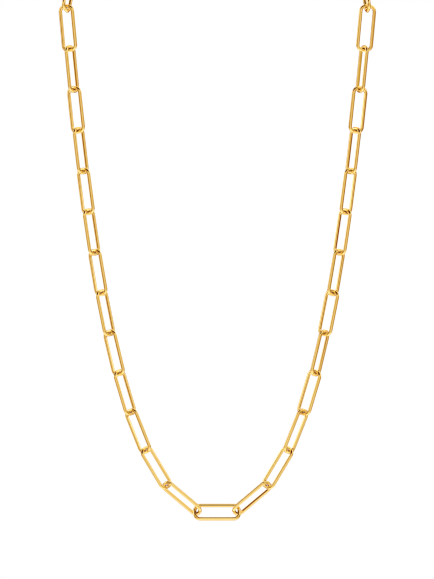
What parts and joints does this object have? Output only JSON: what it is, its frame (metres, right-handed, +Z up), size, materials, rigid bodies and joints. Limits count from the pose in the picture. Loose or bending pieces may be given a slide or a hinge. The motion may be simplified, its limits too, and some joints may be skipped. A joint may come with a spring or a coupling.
{
  "type": "paperclip chain necklace",
  "caption": "Necklace of long, narrow, round-cornered links of polished yellow gold wire, hanging in a deep U from the back of the neck, closed by a plain oval clasp.",
  "frame": {"origin": "middle of the clasp at the nape, where the hanging loop is held", "axes": "+Z up, X across the neck, and the front curve hangs in a plane on the -Y side, which is the side that is seen; the run to the nape leans back towards +Y"},
  "size_m": [0.0927, 0.0317, 0.1806],
  "materials": {
    "gold": "polished 14k yellow gold"
  },
  "bodies": {
    "root": {"link_01": "gold", "link_02": "gold", "link_03": "gold", "link_04": "gold", "link_05": "gold", "link_06": "gold", "link_07": "gold", "link_08": "gold", "link_09": "gold", "link_10": "gold", "link_11": "gold", "link_12": "gold", "link_13": "gold", "link_14": "gold", "link_15": "gold", "link_16": "gold", "link_17": "gold", "link_18": "gold", "link_19": "gold", "link_20": "gold", "link_21": "gold", "link_22": "gold", "link_23": "gold", "link_24": "gold", "link_25": "gold", "link_26": "gold", "link_27": "gold", "link_28": "gold", "link_29": "gold", "link_30": "gold", "link_31": "gold", "link_32": "gold", "link_33": "gold", "link_34": "gold", "link_35": "gold", "link_36": "gold", "link_37": "gold", "clasp": "gold"}
  },
  "joints": []
}
